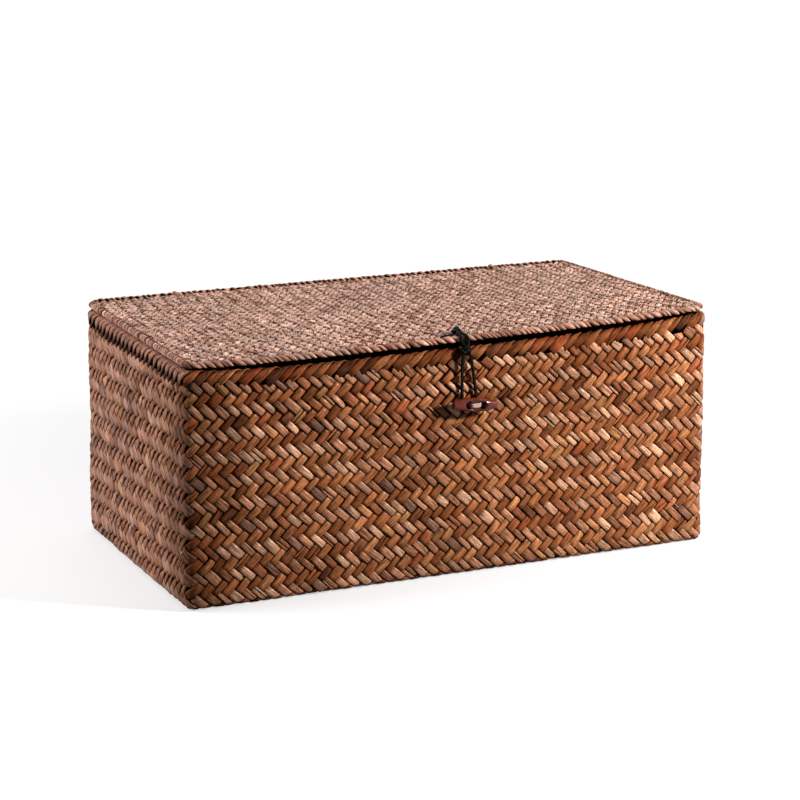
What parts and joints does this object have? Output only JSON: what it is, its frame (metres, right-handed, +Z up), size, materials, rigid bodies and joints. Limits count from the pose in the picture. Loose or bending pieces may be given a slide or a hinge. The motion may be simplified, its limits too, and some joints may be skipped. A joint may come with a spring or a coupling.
{
  "type": "woven lidded box",
  "caption": "Rectangular twill-woven straw storage box with a hinged flat woven lid, closed by a cord loop over a carved wooden toggle.",
  "frame": {"origin": "centre of the flat underside of the basket, on the surface that the box stands on", "axes": "+Z up, +X along the long side, -Y towards the front with the toggle"},
  "size_m": [0.3528, 0.2029, 0.1546],
  "materials": {
    "woven_wall": "dry plant-fibre strips in a diagonal twill, satin highlights",
    "woven_lining": "dry plant-fibre strips in a diagonal twill",
    "woven_rim": "folded plant-fibre strips, satin highlights",
    "woven_lid": "finer pale plant-fibre strips, satin",
    "woven_border": "plant-fibre strips wrapped spirally",
    "cane": "peeled cane",
    "toggle_wood": "dark stained and polished",
    "thread": "undyed thread",
    "cord": "waxed cotton cord, dark green-black",
    "fibre_tie": "undyed twisted plant fibre"
  },
  "bodies": {
    "box": {"outer_basket": "woven_wall", "inner_basket": "woven_lining", "rim_band": "woven_rim", "rim_hoop": "cane", "toggle_shank": "thread", "hinge_tie_left": "fibre_tie", "hinge_tie_right": "fibre_tie"},
    "lid": {"lid_top_panel": "woven_lid", "lid_under_panel": "woven_lid", "lid_border": "woven_border", "lid_hoop": "cane", "top_knot": "cord", "over_strands": "cord", "under_strand": "cord"},
    "toggle": {"toggle_button": "toggle_wood", "toggle_stitch": "thread"},
    "knot": {"slip_knot": "cord"},
    "loop": {"loop_cord": "cord"}
  },
  "joints": [
    {"name": "lid_hinge", "type": "hinge", "parent": "box", "child": "lid", "pos_m": [0, 0.0925, 0.148], "axis": [-1, 0, 0], "range_deg": [0, 110], "deforming": ["hinge_tie_left", "hinge_tie_right"]},
    {"name": "toggle_swivel", "type": "hinge", "parent": "box", "child": "toggle", "pos_m": [0.0074, -0.1017, 0.1087], "axis": [0, 1, 0], "range_deg": [-90, 90]},
    {"name": "knot_droop", "type": "hinge", "parent": "lid", "child": "knot", "pos_m": [0.0037, -0.0977, 0.1423], "axis": [-1, 0, 0], "range_deg": [-90, 0]},
    {"name": "loop_lift", "type": "hinge", "parent": "knot", "child": "loop", "pos_m": [0.0037, -0.0977, 0.1423], "axis": [-1, 0, 0], "range_deg": [0, 100], "deforming": ["loop_cord"]}
  ],
  "couplings": [
    {"joint": "knot_droop", "follows": "lid_hinge", "ratio": -0.81818}
  ]
}
